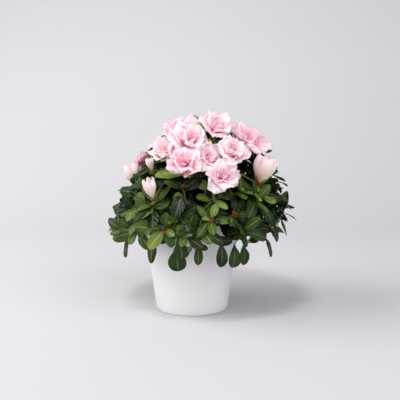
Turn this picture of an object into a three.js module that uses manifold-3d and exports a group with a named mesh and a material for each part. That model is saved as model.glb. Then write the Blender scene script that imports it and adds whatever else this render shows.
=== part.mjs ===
// An azalea in bloom, grown as a low dome in a plain white tapered pot.
// A short stem forks over the soil into seven boughs. Each bough forks again into two or three
// masses, of leafy shoots or of flowers, and every mass keeps to its own wedge of the crown.
// Millimetres, +Z up, origin at the centre of the pot's underside. The front of the plant faces -Y.

import * as THREE from "three";
import { mergeVertices } from "three/addons/utils/BufferGeometryUtils.js";
import Module from "manifold-3d";

const wasm = await Module();
wasm.setup();

// Pot
const POT_HEIGHT = 130;
const POT_RIM_RADIUS = 70;
const POT_FOOT_RADIUS = 52.5;
const POT_WALL = 3.6;
const POT_FLOOR = 5;
const POT_FOOT_ROUND = 1.6;
const POT_RIM_ROUND = 0.9;
const POT_CORNER_ROUND = 3;
const POT_SIDES = 40;

// Root ball
const SOIL_BELOW_RIM = 14;
const SOIL_CROWN = 3;
const SOIL_CORNER = 4;
const SOIL_FLAT = 0.6;
const SOIL_SIDES = 24;

// The gap that is left between two pieces that touch
const SEAM = 0.3;

// Stem: it flares at its foot and swells into a knuckle where the boughs leave
const FORK_HEIGHT = 142;
const STEM_RADIUS = 5.5;
const STEM_FLARE = 4.5;
const FLARE_FALL = 7;
const STEM_LEAN = 3;
const STEM_LEAD = 0.5;
const STEM_SIDES = 8;
const STEM_STUB = 14;
const KNUCKLE_SWELL = 1.12;
const STUB_SWELL = 1.25;

// Boughs: the side ones leave the stem a little steeper than they end up
const BOUGH_BASE_RADIUS = 2.9;
const BOUGH_TIP_RADIUS = 2.1;
const BOUGH_SIDES = 5;
const BOUGH_LENGTH = 62;
const BOUGH_ARCH = 7;
const BOUGH_STUB = 8;
const BOUGH_LEAD = 0.45;
const BOUGH_LIFT = 6;
const STEEP = 45;

// Crown: its reach from the fork, sideways (more on the right, +X), upwards and down past the rim.
// Its left shoulder dips.
const CROWN_SIDE = 139;
const CROWN_SKEW = 10;
const CROWN_TOP = 147;
const CROWN_UNDER = 78;
const CROWN_DIP = 0.5;
const HEART_DEPTH = 0.6;
const CELL_MARGIN = 0.5;
const POT_CLEARANCE = 1.2;
const LIMB_CLEARANCE = 0.6;

// Shoots, the twigs that leave them, and how deep in the crown the twigs end
const SHOOT_RADIUS = 1.7;
const SHOOT_TIP_RADIUS = 1.1;
const SHOOT_LEAD = 0.5;
const SHOOT_SIDES = 5;
const TWIG_RADIUS = 0.95;
const TWIG_TIP_RADIUS = 0.7;
const TWIG_LEAD = 0.4;
const TWIG_DEPTH = 0.74;
const TWIG_DEPTH_SPREAD = 0.08;
const FIRST_JOIN = 0.4;
const JOIN_RUN = 0.5;
const JOIN_SPREAD = 0.06;
const LAST_JOIN = 0.97;
const GOLDEN_ANGLE = Math.PI * (3 - Math.sqrt(5));

// Leaves
const LEAF_LENGTH = 49;
const LEAF_SHORTEST = 0.86;
const LEAF_SIZE_SPREAD = 0.28;
const LEAF_WIDTH_SHARE = 0.48;
const LEAF_FULLEST = 0.56;
const LEAF_THICKNESS = 1.2;
const LEAF_FOLD = 0.16;
const LEAF_DROOP = 0.18;
const LEAF_TILT = 42;
const LEAF_TILT_SPREAD = 32;
const LEAF_ROOT = 4;
const LEAF_SPACING = 16;
const LEAF_OVERREACH = 3;

// Whorls: where along its twig each starts and ends, and how many leaves it has
const TIP_WHORL = { from: 0.88, to: 0.99, leaves: 6 };
const SIDE_WHORL = { from: 0.45, to: 0.7, leaves: 4 };

// How a leaf is tried in turn: its tilt and its length, as shares of the first ones
const LEAF_TRIES = [
  [1, 1],
  [1, 0.84],
  [0.6, 0.84],
  [1, 0.7],
  [0.6, 0.7],
];

// Flowers: a double flower is a cup with five lobes round a narrower cup with five more
const BLOOM_WIDTH = 54;
const BLOOM_DEPTH = 0.45;
const BLOOM_LIFT = 0.12;
const BLOOM_OVERREACH = 6;
const BLOOM_TRIES = [1, 0.92, 0.84, 0.76, 0.68, 0.6];
const PETALS = 5;
const LOBE_REACH = 0.6;
const BUD_LENGTH = 30;
const BUD_RADIUS = 8.6;
const BUD_LIFT = 0.1;
const STALK_JOIN = 0.86;
const STALK_SWELL = 1.15;

const FORK = new THREE.Vector3(0, 0, FORK_HEIGHT);
const UP = new THREE.Vector3(0, 0, 1);

// A direction from its azimuth, measured from the front (-Y) towards +X, and its elevation
function heading(azimuth, elevation) {
  const a = THREE.MathUtils.degToRad(azimuth);
  const e = THREE.MathUtils.degToRad(elevation);
  return new THREE.Vector3(Math.sin(a) * Math.cos(e), -Math.cos(a) * Math.cos(e), Math.sin(e));
}

// A repeatable stream of numbers between 0 and 1
function seeded(seed) {
  let state = seed >>> 0;
  return () => {
    state = (state + 0x6d2b79f5) >>> 0;
    let t = state;
    t = Math.imul(t ^ (t >>> 15), t | 1);
    t ^= t + Math.imul(t ^ (t >>> 7), t | 61);
    return ((t ^ (t >>> 14)) >>> 0) / 4294967296;
  };
}

// Plan of the crown: each side bough carries a low mass of leaves that hangs over the rim, and a
// mass above it
const BOUGHS = [
  { name: "bough_front", azimuth: 0, elevation: 17 },
  { name: "bough_right_front", azimuth: 60, elevation: 17 },
  { name: "bough_right_back", azimuth: 120, elevation: 17 },
  { name: "bough_back", azimuth: 180, elevation: 17 },
  { name: "bough_left_back", azimuth: -120, elevation: 17 },
  { name: "bough_left_front", azimuth: -60, elevation: 17 },
  { name: "bough_top", azimuth: 175, elevation: 79 },
];

const LOW_SPREAD = { sideways: 24, upright: 25, twigs: 8 };
const MID_SPREAD = { sideways: 22, upright: 18, twigs: 6 };
const TOP_SPREAD = { sideways: 22, upright: 20, twigs: 6 };

const MASSES = [
  ...BOUGHS.slice(0, 6).map((bough, i) => ({
    name: bough.name.replace("bough", "leaves_low"),
    kind: "leaves",
    bough: i,
    azimuth: bough.azimuth,
    elevation: -4,
    ...LOW_SPREAD,
  })),
  { name: "leaves_mid_left", kind: "leaves", bough: 5, azimuth: -62, elevation: 31, ...MID_SPREAD },
  { name: "leaves_mid_right", kind: "leaves", bough: 2, azimuth: 97, elevation: 35, ...MID_SPREAD },
  { name: "leaves_mid_back", kind: "leaves", bough: 3, azimuth: 146, elevation: 38, ...MID_SPREAD },
  { name: "leaves_mid_left_back", kind: "leaves", bough: 4, azimuth: -152, elevation: 38, ...MID_SPREAD },
  { name: "leaves_top_right", kind: "leaves", bough: 6, azimuth: 122, elevation: 70, ...TOP_SPREAD },
  { name: "leaves_top_left", kind: "leaves", bough: 6, azimuth: -76, elevation: 70, ...TOP_SPREAD },
  {
    name: "flowers_front_left",
    kind: "flowers",
    bough: 0,
    azimuth: -12,
    elevation: 46,
    blooms: [
      { azimuth: -18, elevation: 63, size: 1 },
      { azimuth: -21, elevation: 42, size: 0.9 },
      { azimuth: -1, elevation: 48, size: 0.95 },
      { azimuth: -2, elevation: 32, size: 0.95 },
    ],
    buds: [{ azimuth: -31, elevation: 28, size: 0.5 }],
  },
  {
    name: "flowers_front_right",
    kind: "flowers",
    bough: 1,
    azimuth: 36,
    elevation: 46,
    blooms: [
      { azimuth: 28, elevation: 60, size: 0.95 },
      { azimuth: 66, elevation: 61, size: 0.9 },
      { azimuth: 49, elevation: 45, size: 1.05 },
      { azimuth: 25, elevation: 38, size: 1.05 },
      { azimuth: 19, elevation: 24, size: 0.9 },
    ],
    buds: [{ azimuth: 53, elevation: 26, size: 1 }],
  },
  {
    name: "flowers_back",
    kind: "flowers",
    bough: 6,
    azimuth: 180,
    elevation: 62,
    blooms: [
      { azimuth: 160, elevation: 66, size: 0.95 },
      { azimuth: -163, elevation: 60, size: 1 },
      { azimuth: 176, elevation: 46, size: 0.95 },
    ],
    buds: [{ azimuth: -160, elevation: 82, size: 0.6 }],
  },
  {
    name: "flowers_left",
    kind: "flowers",
    bough: 4,
    azimuth: -106,
    elevation: 42,
    blooms: [
      { azimuth: -98, elevation: 50, size: 0.95 },
      { azimuth: -112, elevation: 35, size: 1 },
    ],
    buds: [
      { azimuth: -92, elevation: 30, size: 0.9 },
      { azimuth: -122, elevation: 51, size: 0.6 },
    ],
  },
].map((mass, index) => {
  const axis = heading(mass.azimuth, mass.elevation);
  const tip = axis.clone().multiplyScalar(HEART_DEPTH * reachAlong(axis)).add(FORK);
  return { ...mass, index, axis, tip };
});

// How far the crown reaches from the fork in a direction
function reachAlong(direction) {
  const level = 1 - direction.z * direction.z;
  const rise = direction.z > 0 ? CROWN_TOP : CROWN_UNDER;
  const side = CROWN_SIDE + CROWN_SKEW * direction.x;
  const shoulder = Math.max(0, -direction.x) * Math.max(0, direction.z);
  return (1 - CROWN_DIP * shoulder) / Math.sqrt(level / side ** 2 + direction.z ** 2 / rise ** 2);
}

function potRadiusAt(z) {
  return POT_FOOT_RADIUS + ((POT_RIM_RADIUS - POT_FOOT_RADIUS) * z) / POT_HEIGHT;
}

// True if a point is inside a mass's wedge and the crown, and clear of the pot
function inOwnSpace(point, mass, overreach = 0) {
  const from = point.clone().sub(FORK);
  const along = from.dot(mass.axis);
  for (const other of MASSES) {
    if (other === mass) continue;
    const lead = along - from.dot(other.axis);
    if (lead < CELL_MARGIN * mass.axis.distanceTo(other.axis)) return false;
  }
  if (from.length() > reachAlong(from.clone().normalize()) + overreach) return false;
  const level = Math.hypot(point.x, point.y);
  const belowRim = point.z < POT_HEIGHT + POT_CLEARANCE;
  return !(belowRim && level < potRadiusAt(point.z) + POT_CLEARANCE);
}

function distanceToSegment(point, start, end) {
  const run = end.clone().sub(start);
  const t = THREE.MathUtils.clamp(point.clone().sub(start).dot(run) / run.lengthSq(), 0, 1);
  return point.distanceTo(start.clone().addScaledVector(run, t));
}

// Solids and geometries

const GRID = 0.002;
const CLOSE_UPS = [0.15, 0.1, 0.2, 0.05];
const MOST_PINCHES = 12;

function solidOf(geometry) {
  const bare = new THREE.BufferGeometry().setAttribute("position", geometry.getAttribute("position"));
  if (geometry.index) bare.setIndex(geometry.index);
  const merged = mergeVertices(bare, 1e-4);
  return new wasm.Manifold(
    new wasm.Mesh({
      numProp: 3,
      vertProperties: new Float32Array(merged.getAttribute("position").array),
      triVerts: new Uint32Array(merged.index.array),
    }),
  );
}

const withoutFlat = (faces) => faces.filter(([a, b, c]) => a !== b && b !== c && c !== a);

// Each edge of some faces, with the faces that share it
function facesByEdge(faces) {
  const sharing = new Map();
  for (const face of faces) {
    face.forEach((from, corner) => {
      const to = face[(corner + 1) % 3];
      const edge = `${Math.min(from, to)},${Math.max(from, to)}`;
      if (!sharing.has(edge)) sharing.set(edge, []);
      sharing.get(edge).push(face);
    });
  }
  return sharing;
}

// The most faces that hang together, found by walking from face to face over their edges
function largestBody(faces) {
  const neighbours = new Map(faces.map((face) => [face, []]));
  for (const sharing of facesByEdge(faces).values()) {
    for (const face of sharing) neighbours.get(face).push(...sharing);
  }
  const seen = new Set();
  let largest = [];
  for (const first of faces) {
    if (seen.has(first)) continue;
    seen.add(first);
    const body = [first];
    for (const face of body) {
      for (const next of neighbours.get(face)) {
        if (seen.has(next)) continue;
        seen.add(next);
        body.push(next);
      }
    }
    if (body.length > largest.length) largest = body;
  }
  return largest;
}

// A solid's mesh with its vertices on a fine grid. Where two of its walls pinch along a short edge,
// that edge is closed up to a point, so that each edge left belongs to two faces.
function geometryOf(solid) {
  const { vertProperties, triVerts } = solid.getMesh();
  const snapped = Float32Array.from(vertProperties, (value) => Math.round(value / GRID) * GRID);
  const raw = new THREE.BufferGeometry().setAttribute("position", new THREE.BufferAttribute(snapped, 3));
  raw.setIndex(new THREE.BufferAttribute(new Uint32Array(triVerts), 1));
  const geometry = mergeVertices(raw, GRID / 4);
  const index = [...geometry.index.array];
  const corners = Array.from({ length: index.length / 3 }, (_, i) => index.slice(3 * i, 3 * i + 3));
  let faces = withoutFlat(corners);
  for (let round = 0; round < MOST_PINCHES; round++) {
    const pinch = [...facesByEdge(faces)].find(([, sharing]) => sharing.length > 2);
    if (!pinch) break;
    const [kept, gone] = pinch[0].split(",").map(Number);
    faces = withoutFlat(faces.map((face) => face.map((vertex) => (vertex === gone ? kept : vertex))));
  }
  faces = largestBody(faces);
  geometry.setIndex(faces.flat());
  const trimmed = mergeVertices(geometry.toNonIndexed(), GRID / 4);
  trimmed.computeVertexNormals();
  return [...facesByEdge(faces).values()].every((sharing) => sharing.length === 2) ? trimmed : null;
}

// The pieces fused into one body, without loose scraps. Edges too short to see are closed up,
// by the first of a few lengths that leaves the body sound.
function fuse(solids) {
  const whole = wasm.Manifold.union(solids);
  for (const shortest of CLOSE_UPS) {
    const bodies = whole.simplify(shortest).decompose();
    const geometry = geometryOf(bodies.sort((a, b) => b.volume() - a.volume())[0]);
    if (geometry) return geometry;
  }
  throw new Error("a fused body is not sound");
}

// A tapering limb along a curve: a cylinder whose rings are laid across the curve
function limb(curve, radiusAt, sides, steps) {
  const geometry = new THREE.CylinderGeometry(1, 1, 1, sides, steps);
  const frames = curve.computeFrenetFrames(steps, false);
  const positions = geometry.getAttribute("position");
  for (let i = 0; i < positions.count; i++) {
    const t = positions.getY(i) + 0.5;
    const ring = Math.round(t * steps);
    const radius = radiusAt(t);
    const point = curve
      .getPointAt(t)
      .addScaledVector(frames.normals[ring], positions.getX(i) * radius)
      .addScaledVector(frames.binormals[ring], -positions.getZ(i) * radius);
    positions.setXYZ(i, point.x, point.y, point.z);
  }
  return outwardSolid(geometry);
}

function turnedOver(geometry) {
  const index = geometry.index.array;
  for (let i = 0; i < index.length; i += 3) [index[i], index[i + 1]] = [index[i + 1], index[i]];
  return geometry;
}

// A solid whose faces point out, whichever way the geometry's faces do
function outwardSolid(geometry) {
  const solid = solidOf(geometry);
  return solid.volume() > 0 ? solid : solidOf(turnedOver(geometry));
}

function taper(from, to) {
  return (t) => THREE.MathUtils.lerp(from, to, t);
}

// A curve that leaves its start along one direction and bends to its end
function bend(start, direction, end, lead = BOUGH_LEAD) {
  const middle = start.clone().addScaledVector(direction, lead * start.distanceTo(end));
  return new THREE.QuadraticBezierCurve3(start, middle, end);
}

// A blade of eight faces: a kite, widest at `fullest` of its length, with a ridge on both faces.
// It is drawn out along `along` and droops towards `bendTo`; `face` is its upper side.
function blade({ base, along, face, length, width, fullest, thickness, fold, droop, bendTo }) {
  const geometry = new THREE.SphereGeometry(1, 4, 2);
  const positions = geometry.getAttribute("position");
  const side = new THREE.Vector3().crossVectors(face, along).normalize();
  const up = new THREE.Vector3().crossVectors(along, side).normalize();
  const points = [];
  for (let i = 0; i < positions.count; i++) {
    const outward = -positions.getX(i);
    const run = fullest + outward * (outward > 0 ? 1 - fullest : fullest);
    const across = positions.getZ(i);
    const point = base
      .clone()
      .addScaledVector(along, run * length)
      .addScaledVector(side, (across * width) / 2)
      .addScaledVector(up, positions.getY(i) * (thickness / 2) + fold * Math.abs(across) * width)
      .addScaledVector(bendTo, droop * length * run * run);
    positions.setXYZ(i, point.x, point.y, point.z);
    points.push(point);
  }
  return { geometry, points, centre: base.clone().addScaledVector(along, length / 2) };
}

const DOWN = UP.clone().negate();

function leafAt(base, along, face, length) {
  return blade({
    base,
    along,
    face,
    length,
    width: length * LEAF_WIDTH_SHARE,
    fullest: LEAF_FULLEST,
    thickness: LEAF_THICKNESS,
    fold: LEAF_FOLD,
    droop: LEAF_DROOP,
    bendTo: DOWN,
  });
}

// Two directions square to an axis
function squareTo(axis) {
  const helper = Math.abs(axis.z) > 0.9 ? heading(0, 0) : UP;
  const across = new THREE.Vector3().crossVectors(helper, axis).normalize();
  return [across, new THREE.Vector3().crossVectors(axis, across).normalize()];
}

// `axis` leaned over by `tilt`, towards the side at `turn` round it
function leaned(axis, tilt, turn) {
  const [across, over] = squareTo(axis);
  return axis
    .clone()
    .multiplyScalar(Math.cos(tilt))
    .addScaledVector(across, Math.sin(tilt) * Math.cos(turn))
    .addScaledVector(over, Math.sin(tilt) * Math.sin(turn))
    .normalize();
}

// Limbs

// Where a bough forks: out along its heading, arched up over the rim
function boughFork(bough) {
  const out = heading(bough.azimuth, bough.elevation).multiplyScalar(BOUGH_LENGTH);
  return out.add(FORK).addScaledVector(UP, BOUGH_ARCH);
}

const boughForks = BOUGHS.map(boughFork);
const massesOf = (bough) => MASSES.filter((mass) => mass.bough === bough);
const stubHeading = (mass) => mass.tip.clone().sub(boughForks[mass.bough]).normalize();

function boughHeading(bough) {
  return heading(bough.azimuth, bough.elevation + (bough.elevation > STEEP ? 0 : BOUGH_LIFT));
}

function stem() {
  const foot = new THREE.Vector3(-STEM_LEAN, STEM_LEAN / 2, POT_HEIGHT - SOIL_BELOW_RIM + SEAM);
  const curve = bend(foot, UP, FORK, STEM_LEAD);
  const flared = (t) => STEM_RADIUS + STEM_FLARE * Math.exp(-FLARE_FALL * t);
  const pieces = [limb(curve, flared, STEM_SIDES, 4)];
  const knuckle = new THREE.SphereGeometry(STEM_RADIUS * KNUCKLE_SWELL, STEM_SIDES, 5);
  knuckle.rotateX(Math.PI / 2);
  knuckle.translate(FORK.x, FORK.y, FORK.z);
  pieces.push(outwardSolid(knuckle));
  for (const bough of BOUGHS) {
    const end = FORK.clone().addScaledVector(boughHeading(bough), STEM_STUB);
    const stub = new THREE.LineCurve3(FORK.clone(), end);
    pieces.push(limb(stub, taper(BOUGH_BASE_RADIUS * STUB_SWELL, BOUGH_BASE_RADIUS), BOUGH_SIDES, 1));
  }
  return fuse(pieces);
}

function boughSolid(bough, index) {
  const direction = boughHeading(bough);
  const start = FORK.clone().addScaledVector(direction, STEM_STUB + SEAM);
  const fork = boughForks[index];
  const narrowing = taper(BOUGH_BASE_RADIUS, BOUGH_TIP_RADIUS);
  const pieces = [limb(bend(start, direction, fork), narrowing, BOUGH_SIDES, 4)];
  for (const mass of massesOf(index)) {
    const heel = fork.clone().addScaledVector(stubHeading(mass), -1);
    const end = fork.clone().addScaledVector(stubHeading(mass), BOUGH_STUB);
    const stub = new THREE.LineCurve3(heel, end);
    pieces.push(limb(stub, taper(BOUGH_TIP_RADIUS, SHOOT_RADIUS), BOUGH_SIDES, 1));
  }
  return fuse(pieces);
}

// Straight runs along every bough and stub, which leaves keep clear of
const limbRuns = BOUGHS.flatMap((bough, i) => {
  const direction = boughHeading(bough);
  const start = FORK.clone().addScaledVector(direction, STEM_STUB);
  const points = bend(start, direction, boughForks[i]).getPoints(4);
  const runs = points.slice(1).map((p, k) => ({ start: points[k], end: p, radius: BOUGH_BASE_RADIUS }));
  const stubs = massesOf(i).map((mass) => ({
    start: boughForks[i],
    end: boughForks[i].clone().addScaledVector(stubHeading(mass), BOUGH_STUB + SEAM),
    radius: BOUGH_TIP_RADIUS,
  }));
  return [...runs, ...stubs];
});

function clearOfLimbs(point) {
  return limbRuns.every(
    (run) => distanceToSegment(point, run.start, run.end) > run.radius + LIMB_CLEARANCE,
  );
}

// Masses

// The shoot that a mass grows on, from its bough's stub to the heart of its wedge
function shootCurve(mass) {
  const direction = stubHeading(mass);
  const start = boughForks[mass.bough].clone().addScaledVector(direction, BOUGH_STUB + SEAM);
  return bend(start, direction, mass.tip, SHOOT_LEAD);
}

// Where a mass's twigs end, spread over its wedge by the golden angle
function twigPlan(mass) {
  const random = seeded(101 + 17 * mass.index);
  const [sideways, upright] = squareTo(mass.axis);
  return Array.from({ length: mass.twigs }, (_, i) => {
    const out = Math.sqrt((i + 0.6) / mass.twigs);
    const turn = i * GOLDEN_ANGLE + mass.index + 0.5 * (random() - 0.5);
    const swing = Math.tan(THREE.MathUtils.degToRad(mass.sideways)) * out * Math.cos(turn);
    const lift = Math.tan(THREE.MathUtils.degToRad(mass.upright)) * out * Math.sin(turn);
    const direction = mass.axis.clone().addScaledVector(sideways, swing).addScaledVector(upright, lift);
    const depth = TWIG_DEPTH + TWIG_DEPTH_SPREAD * random();
    const join = FIRST_JOIN + JOIN_RUN * (1 - out) + JOIN_SPREAD * random();
    return { direction: direction.normalize(), depth, join: Math.min(join, LAST_JOIN) };
  });
}

// The way a twig's tip points: outwards, turned up by the light, or hanging a little under the rim
function tipHeading(direction) {
  const lift = direction.z > -0.1 ? 0.35 : -0.1;
  return direction.clone().addScaledVector(UP, lift).normalize();
}

// A leaf is left out where it would leave the mass's space, touch a limb or lie over another leaf
function leafFits(leaf, base, mass, centres) {
  if (centres.some((other) => other.distanceTo(leaf.centre) < LEAF_SPACING)) return false;
  return leaf.points
    .filter((point) => point.distanceTo(base) > LEAF_ROOT)
    .every((point) => inOwnSpace(point, mass, LEAF_OVERREACH) && clearOfLimbs(point));
}

// Leaves set round a twig by the golden angle, close together. A leaf that doesn't fit where it
// falls is tried shorter and closer to the twig before it is left out.
function whorl(twig, place, upward, mass, random, centres) {
  const leaves = [];
  for (let i = 0; i < place.leaves; i++) {
    const base = twig.getPointAt(THREE.MathUtils.lerp(place.from, place.to, (i + 0.5) / place.leaves));
    const turn = i * GOLDEN_ANGLE + mass.index + 0.3 * random();
    const tilt = LEAF_TILT + LEAF_TILT_SPREAD * random();
    const size = LEAF_LENGTH * (LEAF_SHORTEST + LEAF_SIZE_SPREAD * random());
    const face = upward.clone().addScaledVector(UP, 0.5).normalize();
    for (const [lean, share] of LEAF_TRIES) {
      const along = leaned(upward, THREE.MathUtils.degToRad(tilt * lean), turn);
      const leaf = leafAt(base, along, face, size * share);
      if (!leafFits(leaf, base, mass, centres)) continue;
      leaves.push(outwardSolid(leaf.geometry));
      centres.push(leaf.centre);
      break;
    }
  }
  return leaves;
}

function leafMass(mass) {
  const random = seeded(7 + 31 * mass.index);
  const shoot = shootCurve(mass);
  const pieces = [limb(shoot, taper(SHOOT_RADIUS, SHOOT_TIP_RADIUS), SHOOT_SIDES, 3)];
  const centres = [];
  for (const { direction, depth, join } of twigPlan(mass)) {
    const tip = direction.clone().multiplyScalar(depth * reachAlong(direction)).add(FORK);
    if (!inOwnSpace(tip, mass) || !clearOfLimbs(tip)) continue;
    const root = shoot.getPointAt(join);
    const leave = shoot.getTangentAt(join).add(direction).normalize();
    const twig = bend(root, leave, tip, TWIG_LEAD);
    if (!twig.getPoints(4).slice(1).every((point) => inOwnSpace(point, mass))) continue;
    pieces.push(limb(twig, taper(TWIG_RADIUS, TWIG_TIP_RADIUS), 3, 2));
    const upward = tipHeading(direction);
    pieces.push(...whorl(twig, TIP_WHORL, upward, mass, random, centres));
    pieces.push(...whorl(twig, SIDE_WHORL, upward, mass, random, centres));
  }
  return fuse(pieces);
}

// Flowers

// A cup with five lobes, drawn out along `axis` from its root: a lathe whose rings swell and shrink
// round its five petals. `profile` gives each ring's radius, height and how far its lobes stand out.
function lobedCup(root, axis, width, profile, phase) {
  const outline = profile.map(([radius, height]) => new THREE.Vector2(radius * width, height * width));
  const geometry = new THREE.LatheGeometry(outline, 2 * PETALS);
  const positions = geometry.getAttribute("position");
  const [across, over] = squareTo(axis);
  for (let i = 0; i < positions.count; i++) {
    const turn = Math.atan2(positions.getX(i), positions.getZ(i)) + phase;
    const lobes = profile[i % profile.length][2];
    const swell = 1 + lobes * Math.cos(PETALS * (turn - phase));
    const radius = Math.hypot(positions.getX(i), positions.getZ(i)) * swell;
    const point = root
      .clone()
      .addScaledVector(axis, positions.getY(i) * (1 + LOBE_REACH * lobes * (swell - 1)))
      .addScaledVector(across, radius * Math.cos(turn))
      .addScaledVector(over, radius * Math.sin(turn));
    positions.setXYZ(i, point.x, point.y, point.z);
  }
  return geometry;
}

// The two cups' rings, from the root over the frill and back inside: radius, height, lobes
const OUTER_CUP = [
  [0, 0, 0],
  [0.035, 0, 0],
  [0.12, 0.24, 0.1],
  [0.46, 0.42, 0.16],
  [0.45, 0.45, 0.16],
  [0.1, 0.29, 0.1],
  [0, 0.26, 0],
];
const INNER_CUP = [
  [0, 0.22, 0],
  [0.09, 0.24, 0.1],
  [0.25, 0.5, 0.2],
  [0.22, 0.51, 0.2],
  [0, 0.3, 0],
];

function pointsOf(geometry) {
  const positions = geometry.getAttribute("position");
  return Array.from({ length: positions.count }, (_, i) =>
    new THREE.Vector3().fromBufferAttribute(positions, i),
  );
}

// A double flower: an inner cup of petals inside a wide outer one, shrunk until it fits its space
function bloom(root, axis, size, mass, random) {
  const phase = 2 * Math.PI * random();
  for (const share of BLOOM_TRIES) {
    const width = BLOOM_WIDTH * size * share;
    const cups = [
      lobedCup(root, axis, width, OUTER_CUP, phase),
      lobedCup(root, axis, width, INNER_CUP, phase + Math.PI / PETALS),
    ];
    const fits = pointsOf(cups[0]).every((point) => inOwnSpace(point, mass, BLOOM_OVERREACH));
    if (fits) return cups.map(outwardSolid);
  }
  return [];
}

// A bud: a spindle of six sides that starts a little way out and closes to a blunt tip
function bud(base, axis, size) {
  const end = base.clone().addScaledVector(axis, BUD_LENGTH * size);
  const swell = (t) => Math.sin(Math.PI * (0.12 + 0.86 * t)) ** 0.7;
  const radiusAt = (t) => Math.max(0.35, BUD_RADIUS * size * swell(t));
  return limb(new THREE.LineCurve3(base, end), radiusAt, 6, 4);
}

function flowerMass(mass) {
  const random = seeded(7 + 31 * mass.index);
  const shoot = shootCurve(mass);
  const pieces = [limb(shoot, taper(SHOOT_RADIUS, SHOOT_TIP_RADIUS), SHOOT_SIDES, 3)];
  const stalk = (tip, direction) => {
    const root = shoot.getPointAt(STALK_JOIN);
    const leave = shoot.getTangentAt(STALK_JOIN).add(direction).normalize();
    const curve = bend(root, leave, tip, TWIG_LEAD);
    pieces.push(limb(curve, taper(TWIG_RADIUS * STALK_SWELL, TWIG_RADIUS), 3, 2));
  };
  for (const { azimuth, elevation, size } of mass.blooms) {
    const direction = heading(azimuth, elevation);
    const depth = BLOOM_DEPTH * BLOOM_WIDTH * size;
    const base = direction.clone().multiplyScalar(reachAlong(direction) - depth).add(FORK);
    const axis = direction.clone().addScaledVector(UP, BLOOM_LIFT).normalize();
    stalk(base.clone().add(direction), direction);
    pieces.push(...bloom(base, axis, size, mass, random));
  }
  for (const { azimuth, elevation, size } of mass.buds) {
    const direction = heading(azimuth, elevation);
    const depth = BUD_LENGTH * size;
    const base = direction.clone().multiplyScalar(reachAlong(direction) - depth).add(FORK);
    const axis = direction.clone().addScaledVector(UP, BUD_LIFT).normalize();
    stalk(base.clone().add(direction), direction);
    pieces.push(bud(base, axis, size));
  }
  return fuse(pieces);
}

// Pot and root ball

function potGeometry() {
  const wallAt = (z) => potRadiusAt(z) - POT_WALL;
  const rimBelow = POT_HEIGHT - POT_RIM_ROUND;
  const cornerTop = POT_FLOOR + POT_CORNER_ROUND;
  const profile = [
    [0, 0],
    [POT_FOOT_RADIUS - POT_FOOT_ROUND, 0],
    [POT_FOOT_RADIUS - 0.3 * POT_FOOT_ROUND, 0.35 * POT_FOOT_ROUND],
    [potRadiusAt(POT_FOOT_ROUND), POT_FOOT_ROUND],
    [potRadiusAt(rimBelow), rimBelow],
    [POT_RIM_RADIUS - POT_RIM_ROUND, POT_HEIGHT],
    [POT_RIM_RADIUS - POT_WALL + POT_RIM_ROUND, POT_HEIGHT],
    [wallAt(rimBelow), rimBelow],
    [wallAt(cornerTop), cornerTop],
    [wallAt(POT_FLOOR) - POT_CORNER_ROUND, POT_FLOOR],
    [0, POT_FLOOR],
  ].map(([r, z]) => new THREE.Vector2(r, z));
  return new THREE.LatheGeometry(profile, POT_SIDES).rotateX(Math.PI / 2);
}

// The root ball fills the pot and is heaped slightly round the stem, which stands on its flat top
function soilGeometry() {
  const top = POT_HEIGHT - SOIL_BELOW_RIM;
  const radiusAt = (z) => potRadiusAt(z) - POT_WALL - 2 * SEAM;
  const low = POT_FLOOR + SEAM;
  const profile = [
    [0, low],
    [radiusAt(low) - SOIL_CORNER, low],
    [radiusAt(low + SOIL_CORNER), low + SOIL_CORNER],
    [radiusAt(top - SOIL_CROWN), top - SOIL_CROWN],
    [radiusAt(top) * SOIL_FLAT, top],
    [0, top],
  ].map(([r, z]) => new THREE.Vector2(r, z));
  return new THREE.LatheGeometry(profile, SOIL_SIDES).rotateX(Math.PI / 2);
}

// Colours and finishes
function finish(color, roughness, flatShading = false) {
  return new THREE.MeshStandardMaterial({ color, roughness, metalness: 0, flatShading });
}

const FINISHES = {
  pot: finish(0xe9e6e6, 0.45),
  soil: finish(0x2b1d14, 1),
  bark: finish(0x6d4f38, 0.9),
  leaf: finish(0x2f5425, 0.5, true),
  petal: finish(0xf3b6cb, 0.7, true),
};

function named(name, geometry, material) {
  const mesh = new THREE.Mesh(geometry, material);
  mesh.name = name;
  return mesh;
}

const azalea = new THREE.Group();
azalea.name = "azalea";
azalea.add(named("pot", geometryOf(outwardSolid(potGeometry())), FINISHES.pot));
azalea.add(named("soil", geometryOf(outwardSolid(soilGeometry())), FINISHES.soil));
azalea.add(named("stem", stem(), FINISHES.bark));
BOUGHS.forEach((bough, i) => azalea.add(named(bough.name, boughSolid(bough, i), FINISHES.bark)));
for (const mass of MASSES) {
  const solid = mass.kind === "leaves" ? leafMass(mass) : flowerMass(mass);
  azalea.add(named(mass.name, solid, mass.kind === "leaves" ? FINISHES.leaf : FINISHES.petal));
}

export default azalea;
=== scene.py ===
# An azalea in bloom in a white pot: leaves, petals, buds, bark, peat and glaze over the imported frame.
# Metres, +Z up, origin at the centre of the pot's underside. The front of the plant faces -Y.

import math

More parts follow.
